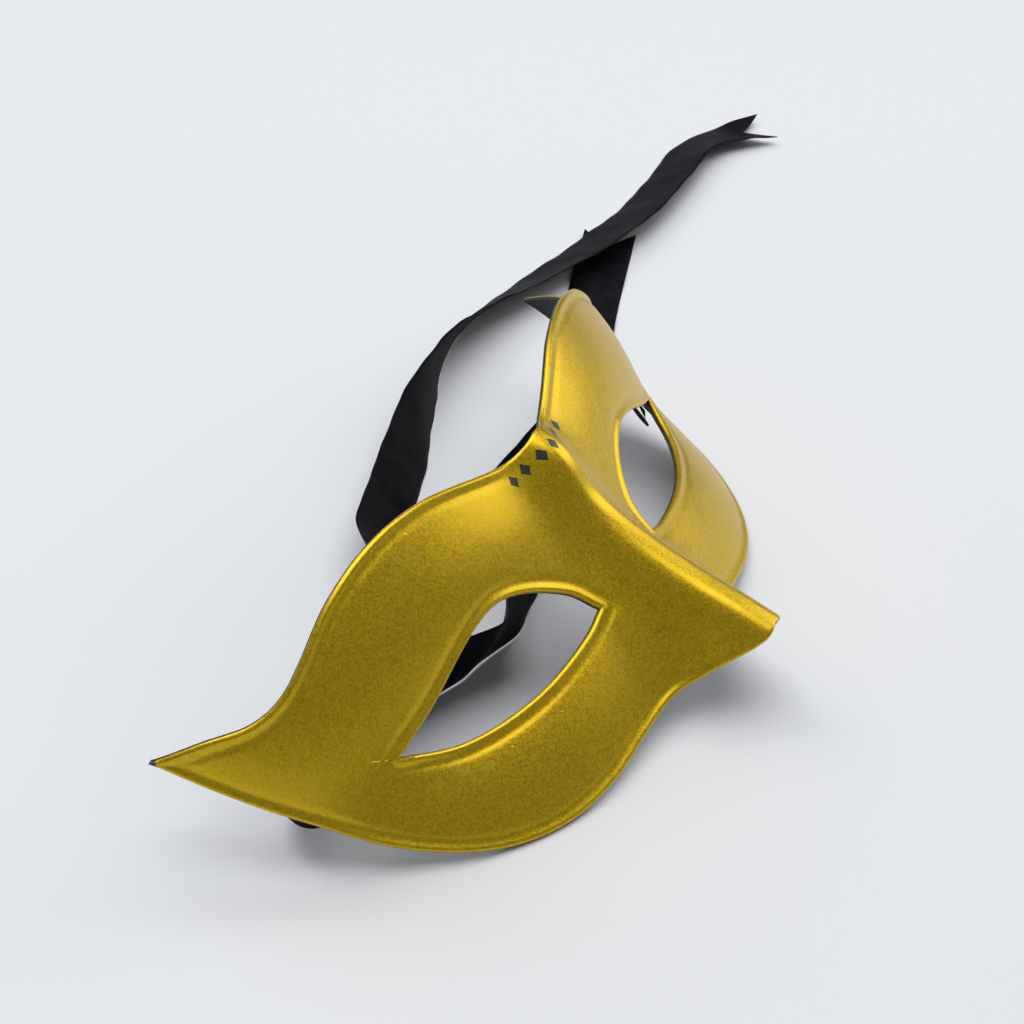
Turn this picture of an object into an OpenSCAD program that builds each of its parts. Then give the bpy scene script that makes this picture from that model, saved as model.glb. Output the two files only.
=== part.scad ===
// Venetian half mask with two satin ribbon ties, lying on a table with its ribbons trailing.
// The face is drawn in its own axes first: x to the side, y up the forehead, z out of the face.
// u is the distance measured round the face from the nose line and v is the height.

/* [Face] */
// Wrap round the face at its first, even rate, radians per 100 mm
wrap_even = 0.21; // [0.15:0.01:0.3]
// Wrap that grows towards the temples
wrap_temple = 0.55; // [0.45:0.01:0.65]
// Roll-back of the forehead and the cheeks, 50 mm from the middle
roll_back = 2.2; // [0:0.1:4]
// How far the wing ends splay outwards
wing_splay = 3; // [0:0.5:6]
// Depth of the hollow along the eyes, which leaves the brow standing
eye_hollow = 5; // [0:0.5:7]
// Half width of the nose ridge
nose_half_w = 7.4; // [6:0.1:9]
// Angle that the face leans back from upright as it lies
lean_back = 42; // [36:1:48]

/* [Shell] */
// Thickness of the moulded plastic
shell_t = 1.2; // [0.8:0.1:1.6]
// Thickness of the flock lining
lining_t = 0.6; // [0.4:0.1:0.8]
// How far the lining stops short of the edges
lining_inset = 1.2; // [0.8:0.1:2]

/* [Ribbons] */
// Width of the satin ribbon
ribbon_w = 16; // [14:1:18]
// Thickness of the ribbon solid
ribbon_t = 0.4; // [0.3:0.1:0.5]
// Depth of the swallowtail notch
notch = 9; // [5:1:11]

/* [Anchors] */
// Distance round the face to the middle of each felt patch
patch_u = 91; // [89:1:93]
// Height of the patch's middle
patch_v = 10; // [8:1:12]
// Half length of the felt patch
patch_half_l = 9; // [8:1:10]
// Half height of the felt patch
patch_half_h = 10; // [9:1:11]
// Half size of the hot glue pad under the ribbon's end
glue_half = 6; // [5:1:7]

/* [Hidden] */

gap = 0.2;
lining_gap = 0.4;
glue_t = 0.4;
patch_t = 0.8;
patch_gap = 1.8;
wrap_late = 0.1;
radian = 180 / PI;

// Half outline of the mask, from the middle of the forehead to the wing tip
top_edge = [[0, 35.5], [8.5, 34.5], [38.5, 44.5], [56.5, 46.5], [73, 44], [95, 35], [103.5, 34.5],
    [115, 38], [128, 41]];
// Half outline from the nose tip round the cheek to the wing tip
low_edge = [[0, -34.5], [6, -35.5], [11, -34.5], [18, -33], [31, -33.5], [46.5, -34.5], [64, -32],
    [80, -24.5], [97.5, -8.5], [111, 11.5], [128, 41]];
// Eye hole from its inner corner over the upper lid, and under the lower lid, to its outer corner
upper_lid = [[17, -5.5], [20.5, 2.5], [39.5, 14.5], [70.5, 8.5], [83, 6]];
lower_lid = [[17, -5.5], [23.5, -7], [46, -7], [68.5, -2], [83, 6]];
// Height of the nose ridge above the face, every 14 mm from v = 42 down to v = -28
ridge = [2.5, 7, 6.5, 10, 15, 22];
ridge_top = 42;
ridge_step = 14;

// Ribbon routes: x, y, lift of the middle line above its rest on the table, and the lean of the
// width in degrees, 0 standing on edge and 90 lying flat
left_route = [[-75, 11.2, 16.7, -28], [-79.7, 13.4, 14.6, -28], [-84, 15.8, 12.3, -27],
    [-87.7, 18.6, 10.1, -26], [-90.8, 23.2, 8.6, -21], [-89.2, 28.2, 7.4, -12],
    [-83.4, 31.2, 5.2, -6], [-75, 31.2, 3, -4], [-67, 29.2, 1, -6], [-58, 27.5, 0, -8],
    [-47.5, 24.7, 0, -10], [-37, 20.5, 0, -10], [-26, 14.8, 0, -12], [-15, 11, 0, -22],
    [-3, 12.4, 0, 12], [9, 14.5, 0, 20], [22, 17.2, 0, 32], [36, 20, 0, 58], [50, 23, 0, 80],
    [64, 26, 0, 90], [78, 29, 0, 90], [92, 32.4, 0, 90], [106, 37, 0, 90], [120, 42.5, 0, 90],
    [134, 47.5, 0, 90], [148, 51.5, 0, 90], [162, 55, 0, 90], [176, 58.5, 0, 90],
    [188, 61.5, 0, 90]];
right_route = [[75, 11.2, 16.7, 208], [79.7, 13.4, 14.6, 208], [84, 15.8, 12.3, 207],
    [87.8, 18.7, 9.8, 206], [90.6, 23.4, 7.2, 202], [90.3, 29.3, 4.8, 196], [87.3, 34.8, 2.8, 190],
    [81.5, 37.6, 1.8, 184], [74, 36.2, 1.4, 180], [66.5, 33.4, 1.2, 180], [58, 32.6, 1.2, 180],
    [47, 33.9, 0.6, 180], [35, 35.6, 0, 180], [22, 37, 0, 180], [9.5, 38.2, 0, 180],
    [1.2, 41, 0, 183], [-1, 46.6, 0, 189], [2.2, 52.6, 0, 200], [10.5, 56.4, 0, 211],
    [21, 58.9, 0, 218], [33.3, 61.5, 0, 222], [48, 65.3, 0, 220], [66, 69.8, 0, 205],
    [87.5, 73.8, 0, 178], [102.5, 75.8, 0, 157], [114, 76, 0, 143], [126, 74.9, 0, 131],
    [139, 72, 0, 122], [152, 68.2, 0, 117], [165, 64.2, 0.6, 113], [179, 60.2, 1, 110],
    [194, 57.2, 0.8, 110], [210, 55.7, 0.2, 111], [226, 55.5, 0, 111], [242, 55.3, 0, 110],
    [253.5, 52.1, 0, 106], [262, 45.4, 0, 102], [269, 38.2, 0, 97]];

// ---- small helpers ----
function unit(a) = a / norm(a);
function clamp(a, lo, hi) = min(hi, max(lo, a));

// Knot spacing of a centripetal spline
function knot(a, b) = sqrt(max(norm(b - a), 0.001));
function hermite(p1, p2, m1, m2, t) =
    (2 * t * t * t - 3 * t * t + 1) * p1 + (t * t * t - 2 * t * t + t) * m1
    + (3 * t * t - 2 * t * t * t) * p2 + (t * t * t - t * t) * m2;
function span_point(p0, p1, p2, p3, t) =
    let (d1 = knot(p0, p1), d2 = knot(p1, p2), d3 = knot(p2, p3))
    let (m1 = ((p1 - p0) / d1 - (p2 - p0) / (d1 + d2) + (p2 - p1) / d2) * d2)
    let (m2 = ((p2 - p1) / d2 - (p3 - p1) / (d2 + d3) + (p3 - p2) / d3) * d2)
    hermite(p1, p2, m1, m2, t);
// Point at t, 0 to 1, on a smooth curve through pts. A mirrored curve is level where it starts.
function before_start(pts, mirrored) = mirrored ? [-pts[1][0], pts[1][1]] : 2 * pts[0] - pts[1];
function curve_point(pts, t, mirrored = false) =
    let (last = len(pts) - 1, i = min(floor(t * last), last - 1))
    span_point(i == 0 ? before_start(pts, mirrored) : pts[i - 1], pts[i], pts[i + 1],
        i + 2 > last ? 2 * pts[last] - pts[last - 1] : pts[i + 2], t * last - i);
// The same curve as a fine line
function curve_line(pts, mirrored, fine = 120) = [for (k = [0:fine]) curve_point(pts, k / fine, mirrored)];
function run_length(line, i = 0, sum = 0, out = []) =
    i == len(line) ? out
    : let (here = i == 0 ? 0 : sum + norm(line[i] - line[i - 1]))
      run_length(line, i + 1, here, concat(out, [here]));
// Points spread along a line, closer together at its start where crowd is over 1
function even_points(line, count, crowd = 1) =
    let (run = run_length(line), total = run[len(run) - 1])
    let (xs = [for (i = [0:len(line) - 1]) [run[i], line[i][0]]])
    let (ys = [for (i = [0:len(line) - 1]) [run[i], line[i][1]]])
    [for (k = [0:count]) let (d = total * pow(k / count, crowd)) [lookup(d, xs), lookup(d, ys)]];

// ---- the face surface ----
function wrap_angle(u) =
    let (a = u / 100) radian * (wrap_even * a + wrap_temple * a * a + wrap_late * a * a * a);
wrap_step = 2;
wrap_last = 140;
function wrap_path(u = 0, x = 0, z = 0, out = []) =
    u > wrap_last ? out
    : let (a = wrap_angle(u + wrap_step / 2))
      wrap_path(u + wrap_step, x + wrap_step * cos(a), z - wrap_step * sin(a), concat(out, [[u, x, z]]));
wrap_points = wrap_path();
wrap_x = [for (p = wrap_points) [p[0], p[1]]];
wrap_z = [for (p = wrap_points) [p[0], p[2]]];

function ridge_at(i) = i < 0 ? 2 * ridge[0] - ridge[1]
    : i > len(ridge) - 1 ? 2 * ridge[len(ridge) - 1] - ridge[len(ridge) - 2] : ridge[i];
function ridge_height(v) =
    let (t = (ridge_top - v) / ridge_step, i = clamp(floor(t), 0, len(ridge) - 2), f = t - i)
    let (m1 = (ridge_at(i + 1) - ridge_at(i - 1)) / 2, m2 = (ridge_at(i + 2) - ridge_at(i)) / 2)
    f > 1 ? ridge_at(i + 1) + m2 * (f - 1) : hermite(ridge_at(i), ridge_at(i + 1), m1, m2, max(f, 0));
function nose(u, v) =
    ridge_height(v) / (1 + pow(abs(u) / (nose_half_w + 0.06 * (ridge_step - v)), 3.2));
function hollow(u, v) = eye_hollow * exp(-pow((u - 57) / 45, 2) - pow((v - 4.5) / 15, 2));
function relief(u, v) =
    wing_splay * pow(u / 100, 2) * (v - 20) / 50 - roll_back * pow((v + 2.5) / 50, 2) - hollow(u, v);
function skin(u, v) =
    let (a = wrap_angle(u), r = relief(u, v))
    [lookup(u, wrap_x) + r * sin(a), v, lookup(u, wrap_z) + r * cos(a) + nose(u, v)];
function out_dir(u, v) =
    unit(cross(skin(u + 0.5, v) - skin(max(u - 0.5, 0), v), skin(u, v + 0.5) - skin(u, v - 0.5)));
// Point at a depth behind the front. On the nose line the way in has no sideways part.
function behind(u, v, depth) =
    let (n = out_dir(u, v), m = u < 0.01 ? unit([0, n[1], n[2]]) : n)
    skin(u, v) - depth * m;

// ---- the grid between the eye hole and the outline of one half ----
upper_steps = 26;
lower_steps = 34;
mid_up_steps = 10;
mid_low_steps = 8;
face_rings = 11;
inner_corner_v = -5.5;
nose_tip = low_edge[0];
forehead_mid = top_edge[0];

function line_points(a, b, count) = [for (k = [0:count]) a + (b - a) * k / count];
function without_last(a) = [for (i = [0:len(a) - 2]) a[i]];
function backwards(a) = [for (i = [len(a) - 1:-1:0]) a[i]];
// Outer loop: up the nose line, out along the top edge, and back along the lower edge
outer_loop = concat(
    without_last(line_points([0, inner_corner_v], forehead_mid, mid_up_steps)),
    without_last(even_points(curve_line(top_edge, true), upper_steps)),
    without_last(backwards(even_points(curve_line(low_edge, true), lower_steps, 1.3))),
    without_last(line_points(nose_tip, [0, inner_corner_v], mid_low_steps)));
loop_n = len(outer_loop);
upper_n = mid_up_steps + upper_steps;
eye_loop = concat(
    without_last(even_points(curve_line(upper_lid, false), upper_n)),
    without_last(backwards(even_points(curve_line(lower_lid, false), loop_n - upper_n))));

function on_mid(j) = j <= mid_up_steps || j >= mid_up_steps + upper_steps + lower_steps;
// Share of the way out at ring i: closer together next to the eye hole
function ring_share(i, rings) = let (t = i / rings) t * (0.8 + 0.2 * t);
function inset_point(j, share, inset) =
    let (e = eye_loop[j], o = outer_loop[j], far = norm(o - e))
    let (from = inset / far, to = on_mid(j) ? 1 : 1 - inset / far)
    e + (o - e) * (from + (to - from) * share);

// A closed sheet between two depths behind the front, both halves in one
module face_sheet(rings, depth_out, depth_in, inset) {
    flat = [for (i = [0:rings]) for (j = [0:loop_n - 1]) inset_point(j, ring_share(i, rings), inset)];
    half_n = (rings + 1) * loop_n;
    front = [for (p = flat) behind(p[0], p[1], depth_out)];
    back = [for (p = flat) behind(p[0], p[1], depth_in)];
    mirror_x = [-1, 1, 1];
    points = concat(front, back, [for (p = front) [-p[0], p[1], p[2]]], [for (p = back) [-p[0], p[1], p[2]]]);
    // Both halves share the points on the nose line
    function at(half, layer, i, j) =
        let (jj = j % loop_n, own = (i == rings && on_mid(jj)) ? 0 : half)
        own * 2 * half_n + layer * half_n + i * loop_n + jj;
    function quad(a, b, c, d) = [[a, b, c], [a, c, d]];
    function turned(faces, half) = half == 0 ? faces : [for (f = faces) [f[2], f[1], f[0]]];
    skin_faces = [for (half = [0, 1]) for (layer = [0, 1]) for (i = [0:rings - 1]) for (j = [0:loop_n - 1])
        let (q = quad(at(half, layer, i, j), at(half, layer, i, j + 1), at(half, layer, i + 1, j + 1),
            at(half, layer, i + 1, j)))
        each turned(q, (half + layer + 1) % 2)];
    eye_faces = [for (half = [0, 1]) for (j = [0:loop_n - 1])
        each turned(quad(at(half, 0, 0, j), at(half, 0, 0, j + 1), at(half, 1, 0, j + 1), at(half, 1, 0, j)), half)];
    rim_faces = [for (half = [0, 1]) for (j = [0:loop_n - 1]) if (!(on_mid(j) && on_mid((j + 1) % loop_n)))
        each turned(quad(at(half, 0, rings, j + 1), at(half, 0, rings, j), at(half, 1, rings, j),
            at(half, 1, rings, j + 1)), half)];
    polyhedron(points, concat(skin_faces, eye_faces, rim_faces), convexity = 10);
}

// Stands the face on its cheeks, leaning back, with the table at z = 0
rest_y = -13.4;
rest_z = 32.03;
module lay_down() {
    translate([0, rest_y, rest_z])
        rotate([90 - lean_back, 0, 0])
            children();
}

// A rounded plate that follows the inside of one wing, between two depths
module wing_plate(half_l, half_h, depth_out, depth_in, side) {
    around = 24;
    across = 4;
    function plate_uv(i, j) =
        let (a = 360 * j / around, k = i / across)
        let (c = cos(a), s = sin(a), n = pow(pow(abs(c), 4) + pow(abs(s), 4), -0.25))
        [patch_u + half_l * k * n * c, patch_v + half_h * k * n * s];
    ring = [for (i = [1:across]) for (j = [0:around - 1]) plate_uv(i, j)];
    layer_n = 1 + across * around;
    function layer(depth) = concat([behind(patch_u, patch_v, depth)], [for (p = ring) behind(p[0], p[1], depth)]);
    function at(l, i, j) = i == 0 ? l * layer_n : l * layer_n + 1 + (i - 1) * around + j % around;
    function flip(faces, l) = l == 0 ? faces : [for (f = faces) [f[2], f[1], f[0]]];
    caps = [for (l = [0, 1]) for (i = [0:across - 1]) for (j = [0:around - 1])
        each flip(concat([[at(l, i, j), at(l, i + 1, j + 1), at(l, i + 1, j)]],
            i == 0 ? [] : [[at(l, i, j), at(l, i, j + 1), at(l, i + 1, j + 1)]]), l)];
    edge = [for (j = [0:around - 1]) each [[at(0, across, j), at(0, across, j + 1), at(1, across, j + 1)],
        [at(0, across, j), at(1, across, j + 1), at(1, across, j)]]];
    lay_down()
        mirror([side < 0 ? 1 : 0, 0, 0])
            polyhedron(concat(layer(depth_out), layer(depth_in)), concat(caps, edge), convexity = 4);
}

// ---- ribbons ----
function smooth4(route, i, t) =
    let (last = len(route) - 1)
    let (a = i == 0 ? 2 * route[0] - route[1] : route[i - 1])
    let (d = i + 2 > last ? 2 * route[last] - route[last - 1] : route[i + 2])
    hermite(route[i], route[i + 1], (route[i + 1] - a) / 2, (d - route[i]) / 2, t);
ribbon_sub = 2;
// The swallowtail's middle starts to fall behind this many notch depths before the end
tail_share = 3;
function fine_route(route) = concat(
    [for (i = [0:len(route) - 2]) for (k = [0:ribbon_sub - 1]) smooth4(route, i, k / ribbon_sub)],
    [route[len(route) - 1]]);
// Middle of the ribbon: half its standing height above the table, plus the route's own lift
function ribbon_mid(p) = [p[0], p[1], p[2] + gap + abs(cos(p[3])) * ribbon_w / 2 + ribbon_t / 2];
function ribbon_dir(line, i) =
    unit(ribbon_mid(line[min(i + 1, len(line) - 1)]) - ribbon_mid(line[max(i - 1, 0)]));
function ribbon_ring(line, i) =
    let (mid = ribbon_mid(line[i]), t = ribbon_dir(line, i), left = unit(cross([0, 0, 1], t)))
    let (up = cross(t, left), lean = line[i][3])
    let (w = (sin(lean) * left + cos(lean) * up) * ribbon_w / 2)
    let (n = unit(cross(t, w)) * ribbon_t / 2)
    // The middle line falls behind towards the end, which leaves the swallowtail
    let (left_over = norm(ribbon_mid(line[len(line) - 1]) - mid))
    let (cut = t * notch * max(0, 1 - left_over / (tail_share * notch)))
    [mid - w - n, mid - n - cut, mid + w - n, mid + w + n, mid + n - cut, mid - w + n];
module ribbon(route) {
    line = fine_route(route);
    rings = len(line);
    side_n = 6;
    points = [for (i = [0:rings - 1]) each ribbon_ring(line, i)];
    // The back's faces are split along the same diagonals as the front's, so that a twist keeps
    // them apart
    function wall(a, b, on_back) =
        on_back ? [[a, a + side_n, b], [b, a + side_n, b + side_n]]
        : [[a, b + side_n, b], [a, a + side_n, b + side_n]];
    walls = [for (i = [0:rings - 2]) for (k = [0:side_n - 1])
        each wall(i * side_n + k, i * side_n + (k + 1) % side_n, k > 2)];
    function cap(base) = [[base + 4, base + 1, base + 0], [base + 5, base + 4, base + 0],
        [base + 3, base + 2, base + 1], [base + 4, base + 3, base + 1]];
    start_cap = [for (f = cap(0)) [f[2], f[1], f[0]]];
    end_cap = cap((rings - 1) * side_n);
    polyhedron(points, concat(walls, start_cap, end_cap), convexity = 10);
}

// ---- the pieces ----
lining_front = shell_t + lining_gap;
lining_back = lining_front + lining_t;
pad_front = lining_back + gap;
pad_back = pad_front + glue_t;
// The ribbon's flat width spans the hollow of the wing between the pad and the patch
patch_front = pad_back + patch_gap;
patch_back = patch_front + patch_t;

module mask_shell() {
    color("goldenrod")
        lay_down()
            face_sheet(face_rings, 0, shell_t, 0);
}

module flock_lining() {
    color("dimgray")
        lay_down()
            face_sheet(face_rings, lining_front, lining_back, lining_inset);
}

module glue_pad(side) {
    color("ivory")
        wing_plate(glue_half, glue_half, pad_front, pad_back, side);
}

module felt_patch(side) {
    color("black")
        wing_plate(patch_half_l, patch_half_h, patch_front, patch_back, side);
}

module ribbon_left() {
    color("black")
        ribbon(left_route);
}

module ribbon_right() {
    color("black")
        ribbon(right_route);
}

mask_shell();
flock_lining();
ribbon_left();
ribbon_right();
glue_pad(-1);  // glue_pad_left
glue_pad(1);  // glue_pad_right
felt_patch(-1);  // felt_patch_left
felt_patch(1);  // felt_patch_right
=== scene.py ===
"""Venetian half mask in gold, with two black satin ribbon ties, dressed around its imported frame.

The face is worked out in its own axes, in millimetres, with the same rule as the frame's shell:
u is the distance round the face from the nose line and v is the height. Pieces are then laid down
in the row frame, in metres.
"""

import math

import bpy
import numpy as np
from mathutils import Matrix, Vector, noise


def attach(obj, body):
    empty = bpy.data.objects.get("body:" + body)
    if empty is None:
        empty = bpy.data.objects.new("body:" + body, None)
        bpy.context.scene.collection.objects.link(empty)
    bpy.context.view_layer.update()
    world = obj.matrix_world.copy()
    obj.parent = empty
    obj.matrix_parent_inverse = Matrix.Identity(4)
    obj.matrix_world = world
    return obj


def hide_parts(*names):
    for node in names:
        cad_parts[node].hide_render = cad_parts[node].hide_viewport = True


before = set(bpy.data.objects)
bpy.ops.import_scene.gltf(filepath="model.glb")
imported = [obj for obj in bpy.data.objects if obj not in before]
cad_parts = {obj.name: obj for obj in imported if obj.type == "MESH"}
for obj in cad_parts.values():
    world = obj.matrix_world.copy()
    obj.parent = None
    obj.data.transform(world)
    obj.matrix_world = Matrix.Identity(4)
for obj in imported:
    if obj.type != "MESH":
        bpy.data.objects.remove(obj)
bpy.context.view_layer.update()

MM = 0.001
FINE = 2  # grid refinement

# ---- camera ----
CAMERA_AT = Vector((-0.4583, -0.1847, 0.4056))
CAMERA_LOOKS = Vector((0.7372, 0.3186, -0.5958))
CAMERA_ANGLE = math.radians(22.46)


def make_camera():
    data = bpy.data.cameras.new("camera")
    camera = bpy.data.objects.new("camera", data)
    bpy.context.scene.collection.objects.link(camera)
    camera.location = CAMERA_AT
    camera.rotation_euler = CAMERA_LOOKS.to_track_quat("-Z", "Y").to_euler()
    data.angle = CAMERA_ANGLE
    data.clip_start = 0.01
    data.clip_end = 50
    bpy.context.scene.camera = camera


make_camera()


# ---- mesh helpers ----
def new_piece(name, verts, faces, material, smooth=True):
    """A mesh object, in metres, that rides on the mask's one body."""
    mesh = bpy.data.meshes.new(name)
    mesh.from_pydata([tuple(p) for p in verts], [], [tuple(int(i) for i in f) for f in faces])
    mesh.validate()
    mesh.polygons.foreach_set("use_smooth", [smooth] * len(mesh.polygons))
    mesh.materials.append(material)
    piece = bpy.data.objects.new(name, mesh)
    bpy.context.scene.collection.objects.link(piece)
    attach(piece, "root")
    return piece


def add_attribute(piece, name, values):
    layer = piece.data.attributes.new(name, "FLOAT", "POINT")
    layer.data.foreach_set("value", np.asarray(values, dtype=np.float32))


def hermite(p1, p2, m1, m2, t):
    return (
        (2 * t**3 - 3 * t**2 + 1) * p1
        + (t**3 - 2 * t**2 + t) * m1
        + (3 * t**2 - 2 * t**3) * p2
        + (t**3 - t**2) * m2
    )


def smoothstep(lo, hi, x):
    t = np.clip((x - lo) / (hi - lo), 0, 1)
    return t * t * (3 - 2 * t)


# ---- node helpers ----
class Nodes:
    """A material with its principled shader, and short calls for the nodes that feed it."""

    def __init__(self, name):
        self.material = bpy.data.materials.new(name)
        self.material.use_nodes = True
        self.tree = self.material.node_tree
        self.shader = self.tree.nodes["Principled BSDF"]
        self.place = self.add("ShaderNodeTexCoord").outputs["Object"]

    def add(self, kind, **settings):
        node = self.tree.nodes.new(kind)
        for key, value in settings.items():
            setattr(node, key, value)
        return node

    def put(self, socket, value):
        if isinstance(value, bpy.types.NodeSocket):
            self.tree.links.new(value, socket)
        else:
            socket.default_value = value

    def set(self, **values):
        for key, value in values.items():
            self.put(self.shader.inputs[key.replace("_", " ")], value)

    def noise(self, scale, detail=3.0, rough=0.6, place=None):
        node = self.add("ShaderNodeTexNoise")
        self.put(node.inputs["Vector"], place or self.place)
        node.inputs["Scale"].default_value = scale
        node.inputs["Detail"].default_value = detail
        node.inputs["Roughness"].default_value = rough
        return node.outputs["Fac"]

    def cells(self, scale, output="Color", place=None):
        node = self.add("ShaderNodeTexVoronoi")
        self.put(node.inputs["Vector"], place or self.place)
        node.inputs["Scale"].default_value = scale
        return node.outputs[output]

    def math(self, operation, a, b=0.0, c=0.0):
        node = self.add("ShaderNodeMath", operation=operation)
        for socket, value in zip(node.inputs, (a, b, c)):
            self.put(socket, value)
        return node.outputs[0]

    def ramp(self, value, from_lo, from_hi, to_lo=0.0, to_hi=1.0):
        node = self.add("ShaderNodeMapRange", interpolation_type="SMOOTHSTEP")
        limits = {"From Min": from_lo, "From Max": from_hi, "To Min": to_lo, "To Max": to_hi}
        for key, number in limits.items():
            node.inputs[key].default_value = number
        self.put(node.inputs["Value"], value)
        return node.outputs["Result"]

    def mix(self, factor, a, b):
        node = self.add("ShaderNodeMix", data_type="RGBA")
        self.put(node.inputs["Factor"], factor)
        self.put(node.inputs["A"], a)
        self.put(node.inputs["B"], b)
        return node.outputs["Result"]

    def attribute(self, name):
        return self.add("ShaderNodeAttribute", attribute_name=name).outputs["Fac"]

    def bump(self, height, distance, strength=1.0, under=None):
        node = self.add("ShaderNodeBump")
        node.inputs["Strength"].default_value = strength
        node.inputs["Distance"].default_value = distance
        self.put(node.inputs["Height"], height)
        if under:
            self.put(node.inputs["Normal"], under)
        return node.outputs["Normal"]


def gray(level, alpha=1.0):
    return (level, level, level, alpha)


# ---- materials ----
GOLD_DARK = (0.52, 0.335, 0.002, 1)
GOLD_LIGHT = (0.72, 0.475, 0.008, 1)
GOLD_BRASS = (0.60, 0.41, 0.025, 1)
BARE_PLASTIC = (0.012, 0.012, 0.012, 1)
INK = (0.02, 0.018, 0.012, 1)
# Printed lozenges, in millimetres on the face
LOZENGE_STEP = 4.2
LOZENGE_HALF_W = 1.3
LOZENGE_HALF_H = 1.9
LOZENGE_V = 30.5
LOZENGE_REACH = 14.7
# Weave of the satin, in millimetres
WARP_STEP = 0.5
WEFT_STEP = 0.55


def gold_paint():
    """Satin gold flake paint over black plastic. The plastic shows where the attribute bare is high."""
    n = Nodes("gold_paint")
    flake = n.ramp(n.cells(3000), 0, 1)
    cloud = n.noise(40, 2)
    speck = n.noise(1500, 2, 0.7)
    shade = n.math("ADD", n.math("MULTIPLY", flake, 0.5), n.math("MULTIPLY", speck, 0.5))
    gold = n.mix(n.ramp(shade, 0.2, 0.8), GOLD_DARK, GOLD_LIGHT)
    gold = n.mix(n.ramp(cloud, 0.35, 0.7, 0, 0.25), gold, GOLD_BRASS)
    # A few small pits of missed paint, and nibs of dust under it
    pits = n.ramp(n.cells(75, "Distance"), 0.03, 0.015)
    nibs = n.ramp(n.cells(150, "Distance"), 0.07, 0.02)
    chips = n.noise(900, 3, 0.7)
    worn = n.math("ADD", n.attribute("bare"), n.math("MULTIPLY_ADD", chips, 0.9, -0.45))
    bare = n.math("MAXIMUM", n.ramp(worn, 0.46, 0.54), n.math("MULTIPLY", pits, 0.75))
    printed = printed_lozenges(n)
    unpainted = n.math("MAXIMUM", bare, printed)
    n.set(
        Base_Color=n.mix(printed, n.mix(bare, gold, BARE_PLASTIC), INK),
        Metallic=n.math("MULTIPLY_ADD", unpainted, -0.92, 0.92),
        Roughness=n.ramp(flake, 0, 1, 0.28, 0.40),
    )
    n.set(Coat_Weight=0.22, Coat_Roughness=0.35)
    grain = n.bump(flake, 0.00002, 0.45)
    orange_peel = n.bump(n.noise(420, 2), 0.00006, 0.25, grain)
    dusty = n.bump(nibs, 0.00012, 0.5, orange_peel)
    n.set(Normal=n.bump(bare, -0.00012, 0.6, dusty))
    return n.material


def printed_lozenges(n):
    """A plain row of small printed lozenges along the middle of the brow's edge."""
    u = n.attribute("face_u")
    v = n.attribute("face_v")
    along = n.math("PINGPONG", n.math("SUBTRACT", u, LOZENGE_STEP / 2), LOZENGE_STEP / 2)
    along = n.math("SUBTRACT", LOZENGE_STEP / 2, along)
    across = n.math("ABSOLUTE", n.math("SUBTRACT", v, LOZENGE_V))
    size = n.math("ADD", n.math("DIVIDE", along, LOZENGE_HALF_W), n.math("DIVIDE", across, LOZENGE_HALF_H))
    inside = n.math("LESS_THAN", size, 1.0)
    reach = n.math("LESS_THAN", n.math("ABSOLUTE", u), LOZENGE_REACH)
    return n.math("MULTIPLY", inside, reach)


def black_flock():
    """Short black flock, with fibres that catch a little light."""
    n = Nodes("black_flock")
    fibre = n.noise(1800, 4, 0.8)
    n.set(Base_Color=n.mix(n.ramp(fibre, 0.4, 0.75), gray(0.006), gray(0.035)), Roughness=0.95)
    n.set(Sheen_Weight=0.35, Sheen_Roughness=0.5, Normal=n.bump(fibre, 0.0003, 0.8))
    return n.material


def black_satin():
    """Woven satin: fine ribs along the ribbon, a crosswise weft, and a firmer selvedge."""
    n = Nodes("black_satin")
    along = n.attribute("along")
    across = n.attribute("across")
    warp = n.math("SINE", n.math("MULTIPLY", across, 2 * math.pi / WARP_STEP))
    weft = n.math("SINE", n.math("MULTIPLY", along, 2 * math.pi / WEFT_STEP))
    weave = n.math("MULTIPLY_ADD", n.math("MULTIPLY", warp, weft), 0.5, 0.5)
    edge = n.math("ABSOLUTE", across)
    selvedge = n.ramp(edge, 7.2, 7.6)
    slub = n.noise(160, 3)
    n.set(Base_Color=n.mix(n.ramp(slub, 0.3, 0.7), (0.005, 0.005, 0.007, 1), (0.011, 0.011, 0.014, 1)))
    n.set(Roughness=n.ramp(n.math("ADD", weave, n.math("MULTIPLY", slub, 0.4)), 0.2, 1.2, 0.42, 0.58))
    n.set(Sheen_Weight=0.005, Sheen_Roughness=0.35, Anisotropic=0.4, Specular_IOR_Level=0.04)
    cloth = n.bump(weave, 0.00005, 0.6)
    n.set(Normal=n.bump(selvedge, 0.0001, 0.5, cloth))
    return n.material


def black_felt():
    """Pressed felt: matted fibres with a soft, uneven face."""
    n = Nodes("black_felt")
    fibre = n.noise(1300, 5, 0.8)
    clump = n.noise(220, 3)
    n.set(Base_Color=n.mix(n.ramp(fibre, 0.35, 0.75), gray(0.01), gray(0.05)), Roughness=0.97)
    n.set(Sheen_Weight=0.4, Sheen_Roughness=0.6)
    n.set(Normal=n.bump(clump, 0.0004, 0.5, n.bump(fibre, 0.0002, 0.8)))
    return n.material


def set_glue():
    """Set hot-melt glue: cloudy, waxy and slightly see-through."""
    n = Nodes("set_glue")
    cloud = n.noise(240, 3)
    n.set(Base_Color=n.mix(cloud, (0.86, 0.83, 0.72, 1), (0.7, 0.66, 0.52, 1)))
    n.set(Roughness=n.ramp(cloud, 0.3, 0.7, 0.25, 0.45), Subsurface_Weight=0.4, Subsurface_Scale=0.002)
    n.set(Normal=n.bump(n.noise(500, 2), 0.0001, 0.4))
    return n.material


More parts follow.
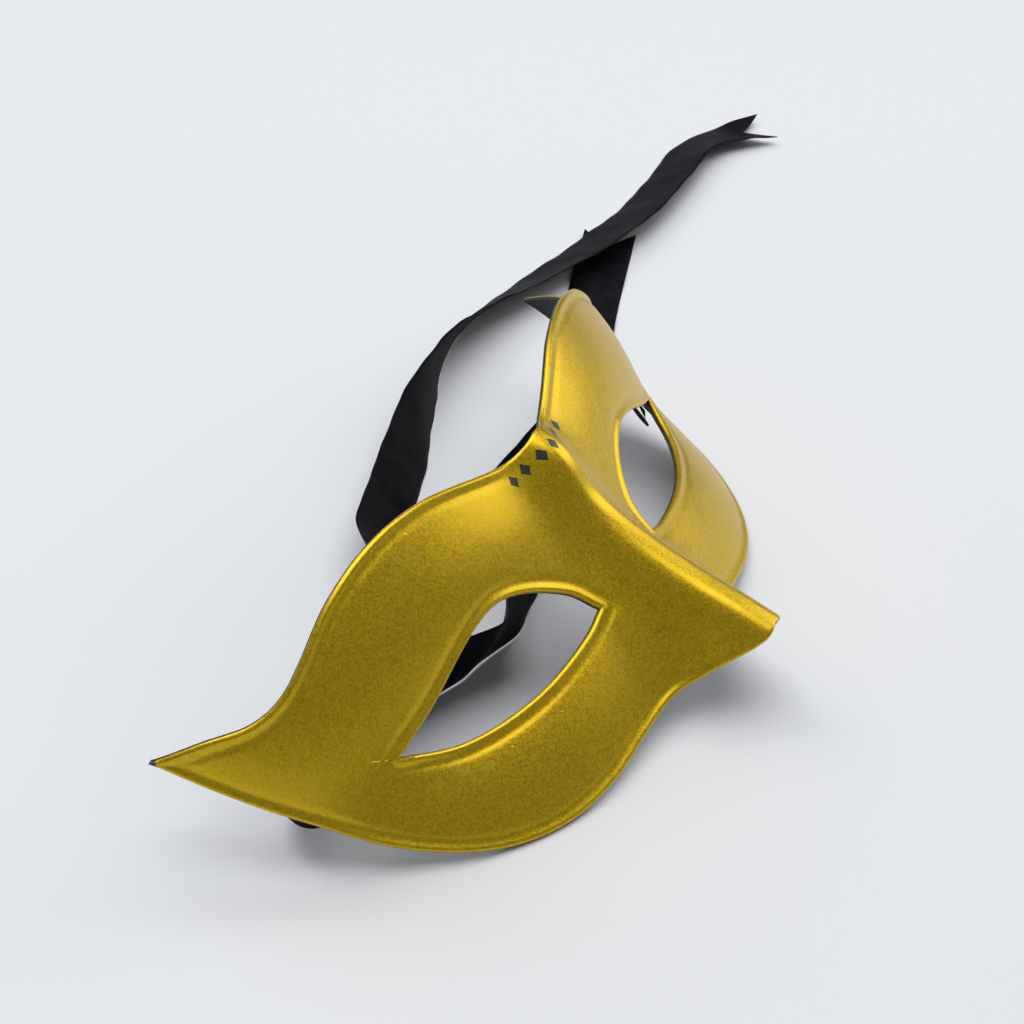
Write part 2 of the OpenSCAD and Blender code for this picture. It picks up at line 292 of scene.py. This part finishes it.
# ---- ribbons ----
RIBBON_W = 0.016
RIBBON_T = 0.0003
RIBBON_REST = 0.0004  # middle of a ribbon that lies flat on the table
NOTCH = 0.009
TAIL = 0.022  # last stretch, over which the swallowtail opens
RIBBON_SUB = 5 * FINE
RIBBON_COLUMNS = 12
# Routes: x, y, lift of the middle line above its rest on the table, and the lean of the width in
# degrees, 0 standing on edge and 90 lying flat
LEFT_ROUTE = [
    (-0.075, 0.0112, 0.0167, -28), (-0.0797, 0.0134, 0.0146, -28), (-0.084, 0.0158, 0.0123, -27),
    (-0.0877, 0.0186, 0.0101, -26), (-0.0908, 0.0232, 0.0086, -21), (-0.0892, 0.0282, 0.0074, -12),
    (-0.0834, 0.0312, 0.0052, -6), (-0.075, 0.0312, 0.003, -4), (-0.067, 0.0292, 0.001, -6),
    (-0.058, 0.0275, 0, -8), (-0.0475, 0.0247, 0, -10), (-0.037, 0.0205, 0, -10),
    (-0.026, 0.0148, 0, -12), (-0.015, 0.011, 0, -22), (-0.003, 0.0124, 0, 12), (0.009, 0.0145, 0, 20),
    (0.022, 0.0172, 0, 32), (0.036, 0.02, 0, 58), (0.05, 0.023, 0, 80), (0.064, 0.026, 0, 90),
    (0.078, 0.029, 0, 90), (0.092, 0.0324, 0, 90), (0.106, 0.037, 0, 90), (0.12, 0.0425, 0, 90),
    (0.134, 0.0475, 0, 90), (0.148, 0.0515, 0, 90), (0.162, 0.055, 0, 90), (0.176, 0.0585, 0, 90),
    (0.188, 0.0615, 0, 90),
]
RIGHT_ROUTE = [
    (0.075, 0.0112, 0.0167, 208), (0.0797, 0.0134, 0.0146, 208), (0.084, 0.0158, 0.0123, 207),
    (0.0878, 0.0187, 0.0098, 206), (0.0906, 0.0234, 0.0072, 202), (0.0903, 0.0293, 0.0048, 196),
    (0.0873, 0.0348, 0.0028, 190), (0.0815, 0.0376, 0.0018, 184), (0.074, 0.0362, 0.0014, 180),
    (0.0665, 0.0334, 0.0012, 180), (0.058, 0.0326, 0.0012, 180), (0.047, 0.0339, 0.0006, 180),
    (0.035, 0.0356, 0, 180), (0.022, 0.037, 0, 180), (0.0095, 0.0382, 0, 180), (0.0012, 0.041, 0, 183),
    (-0.001, 0.0466, 0, 189), (0.0022, 0.0526, 0, 200), (0.0105, 0.0564, 0, 211),
    (0.021, 0.0589, 0, 218), (0.0333, 0.0615, 0, 222), (0.048, 0.0653, 0, 220),
    (0.066, 0.0698, 0, 205), (0.0875, 0.0738, 0, 178), (0.1025, 0.0758, 0, 157),
    (0.114, 0.076, 0, 143), (0.126, 0.0749, 0, 131), (0.139, 0.072, 0, 122), (0.152, 0.0682, 0, 117),
    (0.165, 0.0642, 0.0006, 113), (0.179, 0.0602, 0.001, 110), (0.194, 0.0572, 0.0008, 110),
    (0.21, 0.0557, 0.0002, 111), (0.226, 0.0555, 0, 111), (0.242, 0.0553, 0, 110),
    (0.2535, 0.0521, 0, 106), (0.262, 0.0454, 0, 102), (0.269, 0.0382, 0, 97),
]


def ribbon_line(route):
    """Middle points of the ribbon, its unit directions across, and its lean in degrees."""
    route = np.array(route)
    last = len(route) - 1
    line = []
    for i in range(last):
        before = route[i - 1] if i else 2 * route[0] - route[1]
        after = route[i + 2] if i + 2 <= last else 2 * route[last] - route[last - 1]
        slope_in = (route[i + 1] - before) / 2
        slope_out = (after - route[i]) / 2
        for k in range(RIBBON_SUB):
            line.append(hermite(route[i], route[i + 1], slope_in, slope_out, k / RIBBON_SUB))
    line = np.array(line + [route[last]])
    lean = np.radians(line[:, 3])
    mid = line[:, :3].copy()
    mid[:, 2] += RIBBON_REST + np.abs(np.cos(lean)) * RIBBON_W / 2
    ahead = np.gradient(mid, axis=0)
    ahead /= np.linalg.norm(ahead, axis=1)[:, None]
    left = np.cross([0, 0, 1], ahead)
    left /= np.linalg.norm(left, axis=1)[:, None]
    up = np.cross(ahead, left)
    width = np.sin(lean)[:, None] * left + np.cos(lean)[:, None] * up
    return mid, ahead, width


def make_ribbon(name, route, material, curl):
    """A thin closed band of satin that follows the route and ends in a swallowtail."""
    mid, ahead, width = ribbon_line(route)
    rows = len(mid)
    run = np.concatenate([[0], np.cumsum(np.linalg.norm(np.diff(mid, axis=0), axis=1))])
    total = run[-1]
    across = np.linspace(-1, 1, RIBBON_COLUMNS + 1)
    face = np.cross(ahead, width)
    verts = []
    along_mm = []
    across_mm = []
    for side in (1, -1):
        for i in range(rows):
            # The swallowtail pulls the middle of the last stretch back
            left_over = total - run[i]
            tail = 1 - smoothstep(0, TAIL, left_over)
            ripple = 0.00035 * math.sin(run[i] * 210 + curl * 9) + 0.0002 * math.sin(run[i] * 530)
            for a in across:
                cut = NOTCH * (1 - abs(a)) * tail
                cup = ripple * (a * a - 0.4) + curl * 0.0022 * tail * max(a, 0) ** 2
                point = mid[i] + width[i] * a * RIBBON_W / 2 - ahead[i] * cut
                point = point + face[i] * (cup + side * RIBBON_T / 2 * (1 - 0.3 * abs(a) ** 8))
                point[2] = max(point[2], 0.00004 + 0.00003 * (side + 1))
                verts.append(point)
                along_mm.append((run[i] - cut) / MM)
                across_mm.append(a * RIBBON_W / 2 / MM)
    per_row = RIBBON_COLUMNS + 1
    layer = rows * per_row

    def at(side, i, k):
        return side * layer + i * per_row + k

    faces = []
    for i in range(rows - 1):
        for k in range(RIBBON_COLUMNS):
            faces.append((at(0, i, k), at(0, i + 1, k), at(0, i + 1, k + 1), at(0, i, k + 1)))
            faces.append((at(1, i, k), at(1, i, k + 1), at(1, i + 1, k + 1), at(1, i + 1, k)))
        faces.append((at(0, i, 0), at(1, i, 0), at(1, i + 1, 0), at(0, i + 1, 0)))
        end = RIBBON_COLUMNS
        faces.append((at(0, i, end), at(0, i + 1, end), at(1, i + 1, end), at(1, i, end)))
    for k in range(RIBBON_COLUMNS):
        faces.append((at(0, 0, k), at(0, 0, k + 1), at(1, 0, k + 1), at(1, 0, k)))
        faces.append((at(0, rows - 1, k), at(1, rows - 1, k), at(1, rows - 1, k + 1), at(0, rows - 1, k + 1)))
    piece = new_piece(name + "_satin", verts, faces, material)
    add_attribute(piece, "along", along_mm)
    add_attribute(piece, "across", across_mm)
    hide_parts(name)


satin = black_satin()
make_ribbon("ribbon_left", LEFT_ROUTE, satin, curl=0.3)
make_ribbon("ribbon_right", RIGHT_ROUTE, satin, curl=1.0)

# ---- the face surface, in millimetres ----
WRAP_EVEN, WRAP_TEMPLE, WRAP_LATE = 0.21, 0.55, 0.1
ROLL_BACK = 2.2
WING_SPLAY = 3
EYE_HOLLOW = 5
HOLLOW_U, HOLLOW_V = 57, 4.5
HOLLOW_LENGTH, HOLLOW_HEIGHT = 45, 15
NOSE_HALF_W = 7.4
NOSE_FLARE = 0.06  # how much wider the nose gets with each millimetre down
NOSE_SQUARE = 3.2  # higher makes the ridge flatter on top
LEAN_BACK = math.radians(42)
REST_Y, REST_Z = -13.4, 32.03
SHELL_T = 1.2
RIDGE = np.array([2.5, 7, 6.5, 10, 15, 22])
RIDGE_TOP, RIDGE_STEP = 42, 14
TOP_EDGE = [(0, 35.5), (8.5, 34.5), (38.5, 44.5), (56.5, 46.5), (73, 44), (95, 35), (103.5, 34.5),
            (115, 38), (128, 41)]
LOW_EDGE = [(0, -34.5), (6, -35.5), (11, -34.5), (18, -33), (31, -33.5), (46.5, -34.5), (64, -32),
            (80, -24.5), (97.5, -8.5), (111, 11.5), (128, 41)]
UPPER_LID = [(17, -5.5), (20.5, 2.5), (39.5, 14.5), (70.5, 8.5), (83, 6)]
LOWER_LID = [(17, -5.5), (23.5, -7), (46, -7), (68.5, -2), (83, 6)]
MID_V = -5.5
WING_TIP = np.array([128, 41])


def span_point(p0, p1, p2, p3, t):
    d1, d2, d3 = (math.sqrt(max(np.linalg.norm(b - a), 0.001)) for a, b in ((p0, p1), (p1, p2), (p2, p3)))
    m1 = ((p1 - p0) / d1 - (p2 - p0) / (d1 + d2) + (p2 - p1) / d2) * d2
    m2 = ((p2 - p1) / d2 - (p3 - p1) / (d2 + d3) + (p3 - p2) / d3) * d2
    return hermite(p1, p2, m1, m2, t)


def curve_line(points, mirrored, fine=360):
    """A fine line along the smooth curve through points. A mirrored curve is level at its start."""
    pts = np.array(points, dtype=float)
    last = len(pts) - 1
    before = np.array([-pts[1][0], pts[1][1]]) if mirrored else 2 * pts[0] - pts[1]
    after = 2 * pts[last] - pts[last - 1]
    pts = np.vstack([before, pts, after])
    line = []
    for k in range(fine + 1):
        at = k / fine * last
        i = min(int(at), last - 1)
        line.append(span_point(pts[i], pts[i + 1], pts[i + 2], pts[i + 3], at - i))
    return np.array(line)


def even_points(line, count, crowd=1.0):
    """Points spread along a line, closer together at its start where crowd is over 1."""
    run = np.concatenate([[0], np.cumsum(np.linalg.norm(np.diff(line, axis=0), axis=1))])
    want = run[-1] * (np.arange(count + 1) / count) ** crowd
    return np.stack([np.interp(want, run, line[:, 0]), np.interp(want, run, line[:, 1])], axis=1)


WRAP_U = np.arange(0, 141, 1.0)
WRAP_ANGLE = WRAP_EVEN * WRAP_U / 100 + WRAP_TEMPLE * (WRAP_U / 100) ** 2 + WRAP_LATE * (WRAP_U / 100) ** 3
WRAP_MID = (WRAP_ANGLE[1:] + WRAP_ANGLE[:-1]) / 2
WRAP_X = np.concatenate([[0], np.cumsum(np.cos(WRAP_MID))])
WRAP_Z = np.concatenate([[0], np.cumsum(-np.sin(WRAP_MID))])


def ridge_height(v):
    """Height of the nose ridge above the face."""
    t = (RIDGE_TOP - v) / RIDGE_STEP
    i = np.clip(np.floor(t), 0, len(RIDGE) - 2).astype(int)
    f = t - i
    ends = np.concatenate([[2 * RIDGE[0] - RIDGE[1]], RIDGE, [2 * RIDGE[-1] - RIDGE[-2]]])
    m1 = (ends[i + 2] - ends[i]) / 2
    m2 = (ends[i + 3] - ends[i + 1]) / 2
    inside = hermite(ends[i + 1], ends[i + 2], m1, m2, np.maximum(f, 0))
    return np.where(f > 1, ends[i + 2] + m2 * (f - 1), inside)


def skin(u, v):
    """Points of the face's front, in its own axes."""
    angle = np.interp(u, WRAP_U, WRAP_ANGLE)
    from_hollow = -(((u - HOLLOW_U) / HOLLOW_LENGTH) ** 2) - ((v - HOLLOW_V) / HOLLOW_HEIGHT) ** 2
    hollow = EYE_HOLLOW * np.exp(from_hollow)
    relief = WING_SPLAY * (u / 100) ** 2 * (v - 20) / 50 - ROLL_BACK * ((v + 2.5) / 50) ** 2 - hollow
    nose = ridge_height(v) / (1 + (np.abs(u) / (NOSE_HALF_W + NOSE_FLARE * (RIDGE_STEP - v))) ** NOSE_SQUARE)
    x = np.interp(u, WRAP_U, WRAP_X) + relief * np.sin(angle)
    z = np.interp(u, WRAP_U, WRAP_Z) + relief * np.cos(angle) + nose
    return np.stack([x, v, z], axis=-1)


def out_dir(u, v):
    """Unit directions straight out of the face."""
    du = skin(u + 0.5, v) - skin(np.maximum(u - 0.5, 0), v)
    dv = skin(u, v + 0.5) - skin(u, v - 0.5)
    n = np.cross(du, dv)
    n[..., 0] = np.where(u < 0.01, 0, n[..., 0])
    return n / np.linalg.norm(n, axis=-1)[..., None]


def behind(u, v, depth):
    """Points at a depth behind the face's front."""
    return skin(u, v) - np.asarray(depth)[..., None] * out_dir(u, v)


def laid_down(points):
    """From the face's own axes, in millimetres, to the row frame, in metres."""
    turn = math.pi / 2 - LEAN_BACK
    c, s = math.cos(turn), math.sin(turn)
    x, y, z = points[..., 0], points[..., 1], points[..., 2]
    return np.stack([x, c * y - s * z + REST_Y, s * y + c * z + REST_Z], axis=-1) * MM


# ---- the two loops of one half: round the outline and round the eye hole ----
UPPER, LOWER, MID_UP, MID_LOW = 52 * FINE, 68 * FINE, 20 * FINE, 16 * FINE
LOOP = UPPER + LOWER + MID_UP + MID_LOW
TOP_LINE, LOW_LINE = curve_line(TOP_EDGE, True), curve_line(LOW_EDGE, True)
LID_UP, LID_LOW = curve_line(UPPER_LID, False), curve_line(LOWER_LID, False)


def shifted(points, distance, turn, corner):
    """Points moved sideways by a distance, less near a sharp corner."""
    t = np.gradient(points, axis=0)
    t /= np.linalg.norm(t, axis=1)[:, None]
    side = turn * np.stack([-t[:, 1], t[:, 0]], axis=1)
    near = np.linalg.norm(points - corner, axis=1)
    return points + side * np.minimum(distance, 0.16 * near)[:, None]


def outer_loop(inset):
    """The outline, drawn in by inset, with the nose line that closes the half."""
    top = shifted(even_points(TOP_LINE, UPPER), inset, -1, WING_TIP)
    low = shifted(even_points(LOW_LINE, LOWER, 1.3), inset, 1, WING_TIP)
    top[0] = (0, TOP_EDGE[0][1] - inset)
    low[0] = (0, LOW_EDGE[0][1] + inset)
    up = np.linspace((0, MID_V), top[0], MID_UP + 1)
    down = np.linspace(low[0], (0, MID_V), MID_LOW + 1)
    return np.vstack([up[:-1], top[:-1], low[::-1][:-1], down[:-1]])


def eye_loop(inset):
    """The edge of the eye hole, moved out into the face by inset."""
    count = MID_UP + UPPER
    up = even_points(LID_UP, count)
    low = even_points(LID_LOW, LOOP - count)[::-1]
    loop = np.vstack([up[:-1], low[:-1]])
    t = np.roll(loop, -1, axis=0) - np.roll(loop, 1, axis=0)
    t /= np.linalg.norm(t, axis=1)[:, None]
    return loop + inset * np.stack([-t[:, 1], t[:, 0]], axis=1)


def ring_shares(count):
    """Shares of the way from the eye hole to the outline, closer together at both ends."""
    t = np.arange(count + 1) / count
    return 0.45 * t + 0.55 * (0.5 - 0.5 * np.cos(math.pi * t))


def distance_to(points, line):
    """Distance from each point to the nearest point of a fine line."""
    flat = points.reshape(-1, 2)
    best = np.full(len(flat), 1e9)
    for a, b in zip(line[:-1], line[1:]):
        ab = b - a
        t = np.clip(((flat - a) @ ab) / (ab @ ab + 1e-12), 0, 1)
        best = np.minimum(best, np.linalg.norm(flat - a - t[:, None] * ab, axis=1))
    return best.reshape(points.shape[:-1])


# ---- the moulded sheet ----
TIP_WEAR = 3.0
LID_WEAR_U = 37
# The low bead along the edges and the groove inside it: height, distance from the edge, and width
BEAD_RISE, BEAD_AT, BEAD_W = 0.34, 0.9, 0.75
GROOVE_DEPTH, GROOVE_AT, GROOVE_W = 0.22, 2.9, 0.9
LINING_FRONT, LINING_BACK = SHELL_T + 0.05, SHELL_T + 0.5


class HalfSheet:
    """One half of a thin moulded sheet with rounded edges. Its points are (u, v, depth)."""

    def __init__(self, rings, depth_out, depth_in, edge, inset):
        self.uv = []
        self.depth = []
        self.turn = []
        self.faces = []
        self.count = 0
        self.edge = edge
        self.inset = inset
        self.depth_out = depth_out
        self.depth_in = depth_in
        shares = ring_shares(rings)[:, None, None]
        inner, outer = eye_loop(inset + edge), outer_loop(inset + edge)
        flat = inner[None] + (outer - inner)[None] * shares
        front = self.grid(flat, np.full(flat.shape[:2], depth_out), 0.0)
        back = self.grid(flat[::2], np.full(flat[::2].shape[:2], depth_in), 1.0)
        self.quads(front, wrap=True, flip=False)
        self.quads(back, wrap=True, flip=True)
        self.quads(self.arc(front[0], back[0], eye_loop), wrap=True, flip=True)
        first, last = MID_UP, MID_UP + UPPER + LOWER
        rim = self.arc(front[-1], back[-1], outer_loop)
        self.quads(rim[:, first:last + 1], wrap=False, flip=False)

    def grid(self, uv, depth, turn):
        index = np.arange(self.count, self.count + depth.size).reshape(depth.shape)
        self.count += depth.size
        self.uv.append(uv.reshape(-1, 2))
        self.depth.append(depth.reshape(-1))
        self.turn.append(np.full(depth.size, turn))
        return index

    def arc(self, front_row, back_row, loop):
        """Rows of points round an edge, from the front row to the back row."""
        rows = [front_row]
        steps = 6
        for k in range(1, steps):
            angle = math.pi * k / steps
            uv = loop(self.inset + self.edge * (1 - math.sin(angle)))
            share = (1 - math.cos(angle)) / 2
            depth = self.depth_out + (self.depth_in - self.depth_out) * share
            rows.append(self.grid(uv[None], np.full((1, LOOP), depth), share)[0])
        return np.array(rows + [back_row])

    def quads(self, index, wrap, flip):
        """Faces between neighbouring rows of points."""
        right = np.roll(index, -1, axis=1) if wrap else index[:, 1:]
        left = index if wrap else index[:, :-1]
        a, b, c, d = left[:-1], right[:-1], right[1:], left[1:]
        faces = np.stack([a, b, c, d] if flip else [d, c, b, a], axis=-1).reshape(-1, 4)
        self.faces.append(faces)


def wobble(u, v, side):
    """Slight unevenness of the hand-sprayed moulding, in millimetres."""
    value = [noise.noise(Vector((a * side / 34, b / 34, side * 3.1))) for a, b in zip(u, v)]
    fine = [noise.noise(Vector((a * side / 9, b / 9, side * 7.7))) for a, b in zip(u, v)]
    return 0.16 * np.array(value) + 0.035 * np.array(fine)


def make_sheet(name, rings, depth_out, depth_in, edge, inset, material, bead=0.0, fuzz=0.0):
    """Both halves of a moulded sheet as one closed mesh, with the attributes that its paint reads."""
    half = HalfSheet(rings, depth_out, depth_in, edge, inset)
    uv = np.vstack(half.uv)
    depth = np.concatenate(half.depth)
    turn = np.concatenate(half.turn)
    u, v = uv[:, 0].copy(), uv[:, 1].copy()
    on_mid = np.abs(u) < 1e-6
    outline = np.vstack([TOP_LINE, LOW_LINE[::-1]])
    from_rim = distance_to(uv, outline[::3])
    from_eye = distance_to(uv, np.vstack([LID_UP, LID_LOW[::-1]])[::3])
    from_edge = np.minimum(from_rim, from_eye)
    # A low bead stands along the edges, with a shallow groove inside it
    rise = BEAD_RISE * np.exp(-(((from_edge - BEAD_AT) / BEAD_W) ** 2))
    dip = GROOVE_DEPTH * np.exp(-(((from_edge - GROOVE_AT) / GROOVE_W) ** 2))
    lift = bead * (rise - dip)
    lift *= np.where(from_rim < from_eye, smoothstep(4, 22, u), 0.8 + 0.2 * smoothstep(17, 40, u))
    points = []
    bare = []
    for side in (1, -1):
        settle = wobble(u, v, side) * np.where(on_mid, 0, smoothstep(0, 14, u))
        ragged = np.zeros(len(u))
        if fuzz:
            hair = [noise.noise(Vector((a * 2.3 * side, b * 2.3, c * 3))) for a, b, c in zip(u, v, depth)]
            ragged = fuzz * np.array(hair) * (turn > 0) * (turn < 1)
        p = laid_down(behind(u, v, depth - (lift + settle) * (1 - turn) - settle * turn - ragged))
        p[:, 0] *= side
        p[:, 2] = np.maximum(p[:, 2], 0.00001)
        points.append(p)
        tip = 1 - np.linalg.norm(uv - WING_TIP, axis=1) / TIP_WEAR
        worn = 0.30 * np.exp(-from_edge / 0.35) * (turn == 0) + 0.75 * smoothstep(0.4, 0.75, turn)
        worn += np.clip(tip, 0, 1) * (1.1 if side < 0 else 0.5)
        at_lid = (v < 1) * np.exp(-(((u - LID_WEAR_U) / 9) ** 2)) * np.exp(-from_eye / 0.6)
        worn += at_lid * (0.5 if side < 0 else 0.15)
        bare.append(worn)
    # Both halves share the points on the nose line
    keep = ~on_mid
    second = np.arange(len(u))
    second[keep] = len(u) + np.arange(keep.sum())
    faces = np.vstack(half.faces)
    faces = np.vstack([faces, second[faces][:, ::-1]])
    piece = new_piece(name + "_skin", np.vstack([points[0], points[1][keep]]), faces, material)
    add_attribute(piece, "bare", np.concatenate([bare[0], bare[1][keep]]))
    add_attribute(piece, "face_u", np.concatenate([u, -u[keep]]))
    add_attribute(piece, "face_v", np.concatenate([v, v[keep]]))
    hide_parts(name)


gold = gold_paint()
flock = black_flock()
make_sheet("mask_shell", 22 * FINE, 0.0, SHELL_T, 0.55, 0.0, gold, bead=1.0)
make_sheet(
    "flock_lining", 10 * FINE, LINING_FRONT, LINING_BACK, 0.2, 0.02, flock, fuzz=0.15
)

# ---- what holds the ribbons ----
PATCH_U, PATCH_V = 91, 10
PATCH_HALF_L, PATCH_HALF_H = 9, 10
GLUE_HALF = 6
PLATE_DOME = 0.3
# Depths of the plates' two faces behind the face's front
PAD_FRONT, PAD_BACK = 2.4, 2.8
PATCH_FRONT, PATCH_BACK = 4.6, 5.4


def wing_plate(name, half_l, half_h, depth_out, depth_in, dome, side, material):
    """A rounded plate that follows the inside of one wing, thinner towards its edge."""
    around, across = 64, 12
    rows = [(0.0, 0)]
    for i in range(1, across + 1):
        rows += [(i / across, j) for j in range(around)]
    share = np.array([r[0] for r in rows])
    angle = np.array([2 * math.pi * r[1] / around for r in rows])
    c, s = np.cos(angle), np.sin(angle)
    square = (np.abs(c) ** 4 + np.abs(s) ** 4) ** -0.25
    ragged = 1 + 0.02 * np.sin(angle * 5 + 1) + 0.012 * np.sin(angle * 11)
    u = PATCH_U + half_l * share * square * c * ragged
    v = PATCH_V + half_h * share * square * s * ragged
    matte = np.array([noise.noise(Vector((a * 0.5, b * 0.5, side))) for a, b in zip(u, v)])
    thin = dome * share**4
    layers = []
    for depth, way in ((depth_out, 1), (depth_in, -1)):
        layers.append(laid_down(behind(u, v, depth + way * thin * 0.5 + 0.12 * matte)))
    verts = np.vstack(layers)
    verts[:, 0] *= side
    n = len(rows)

    def at(layer, i, j):
        return layer * n + (0 if i == 0 else 1 + (i - 1) * around + j % around)

    faces = []
    for layer in (0, 1):
        for i in range(across):
            for j in range(around):
                ring = [at(layer, i, j), at(layer, i + 1, j), at(layer, i + 1, j + 1)]
                if i:
                    ring.append(at(layer, i, j + 1))
                faces.append(ring if layer == (side < 0) else ring[::-1])
    for j in range(around):
        ring = [at(0, across, j), at(1, across, j), at(1, across, j + 1), at(0, across, j + 1)]
        faces.append(ring if side > 0 else ring[::-1])
    piece = new_piece(name + "_body", verts, faces, material)
    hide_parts(name)


felt = black_felt()
glue = set_glue()
for side, word in ((-1, "left"), (1, "right")):
    wing_plate(
        "glue_pad_" + word, GLUE_HALF, GLUE_HALF, PAD_FRONT, PAD_BACK, PLATE_DOME, side, glue
    )
    wing_plate(
        "felt_patch_" + word, PATCH_HALF_L, PATCH_HALF_H, PATCH_FRONT, PATCH_BACK, PLATE_DOME,
        side, felt
    )


# ---- table and light ----
def make_table():
    """A wide, pale, slightly glossy table top."""
    n = Nodes("table_white")
    n.set(Base_Color=(0.74, 0.757, 0.785, 1), Roughness=0.42)
    mesh = bpy.data.meshes.new("table")
    half = 3.0
    low = -0.00002
    corners = [(-half, -half, low), (half, -half, low), (half, half, low), (-half, half, low)]
    mesh.from_pydata(corners, [], [(0, 1, 2, 3)])
    mesh.materials.append(n.material)
    table = bpy.data.objects.new("table", mesh)
    bpy.context.scene.collection.objects.link(table)


def make_light(name, place, target, size, power):
    """A soft round light that faces the target."""
    data = bpy.data.lights.new(name, "AREA")
    data.shape = "DISK"
    data.size = size
    data.energy = power
    light = bpy.data.objects.new(name, data)
    bpy.context.scene.collection.objects.link(light)
    light.location = place
    light.rotation_euler = (Vector(target) - Vector(place)).to_track_quat("-Z", "Y").to_euler()


def make_world(level):
    world = bpy.data.worlds.new("room")
    world.use_nodes = True
    shade = world.node_tree.nodes["Background"]
    shade.inputs["Color"].default_value = (0.95, 0.97, 1.0, 1)
    shade.inputs["Strength"].default_value = level
    bpy.context.scene.world = world


make_table()
bpy.context.scene.view_settings.view_transform = "Standard"
make_world(0.28)
make_light("overhead", (0.24, 0.02, 1.25), (0.0, 0.0, 0.0), 1.5, 13.0)
make_light("side", (0.40, 0.95, 0.95), (0.05, 0.0, 0.0), 0.8, 4.5)
make_light("right", (0.93, -0.65, 0.53), (0.0, 0.0, 0.02), 0.7, 2.8)
